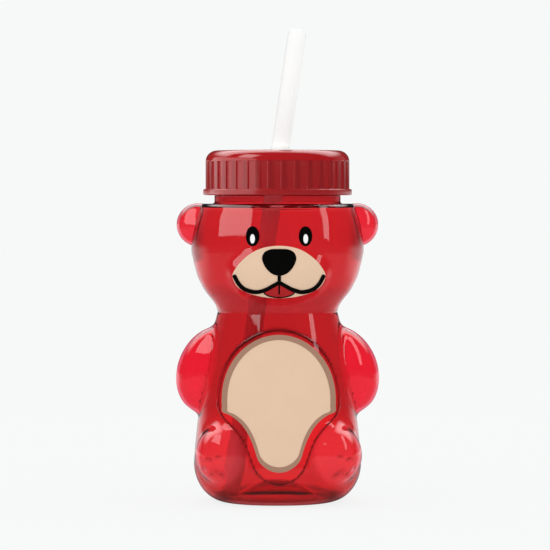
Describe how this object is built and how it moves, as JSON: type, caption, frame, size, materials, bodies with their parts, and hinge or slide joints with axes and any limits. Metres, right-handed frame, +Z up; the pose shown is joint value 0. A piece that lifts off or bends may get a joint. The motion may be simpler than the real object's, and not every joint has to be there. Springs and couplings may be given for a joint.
{
  "type": "plastic straw bottle",
  "caption": "Bear-shaped see-through drinking bottle with a ribbed screw lid and a straight straw, printed face and a bare belly field.",
  "frame": {"origin": "on the surface the bottle stands on, under the middle of its base and neck", "axes": "+Z up, the bear looks along -Y, +X to the right as seen from its front"},
  "size_m": [0.0894, 0.0727, 0.2081],
  "materials": {
    "clear_red": "see-through, smooth and glossy",
    "lid_red": "opaque, satin moulded",
    "straw_white": "milky white, smooth",
    "seal_white": "soft, matt",
    "tan": "printed ink",
    "brown": "printed ink",
    "black": "printed ink",
    "tongue_red": "printed ink",
    "white": "printed ink"
  },
  "bodies": {
    "bottle": {"bottle_body": "clear_red", "belly_border_film": "brown", "belly_field_film": "tan", "muzzle_film": "tan", "nose_film": "black", "mouth_film": "black", "tongue_film": "tongue_red", "eye_film_left": "black", "eye_film_right": "black", "eye_glint_film_left": "white", "eye_glint_film_right": "white"},
    "seal": {"lid_seal": "seal_white"},
    "lid": {"screw_lid": "lid_red"},
    "grommet": {"straw_grommet": "seal_white"},
    "straw": {"straw": "straw_white"}
  },
  "joints": [
    {"name": "lid_rise", "type": "slide", "parent": "bottle", "child": "seal", "axis": [0, 0, 1], "range_m": [0, 0.01693]},
    {"name": "lid_turn", "type": "hinge", "parent": "seal", "child": "lid", "pos_m": [0, 0, 0.1519], "axis": [0, 0, 1], "range_deg": [0, 1440.5]},
    {"name": "straw_swing", "type": "hinge", "parent": "seal", "child": "grommet", "pos_m": [0, 0, 0.1532], "axis": [0, 0, 1], "range_deg": [-180, 180]},
    {"name": "straw_pull", "type": "slide", "parent": "grommet", "child": "straw", "axis": [0.145, 0.0399, 0.9886], "range_m": [0, 0.15]}
  ],
  "couplings": [
    {"joint": "lid_turn", "follows": "lid_rise", "rad_per_m": 1484.3}
  ]
}
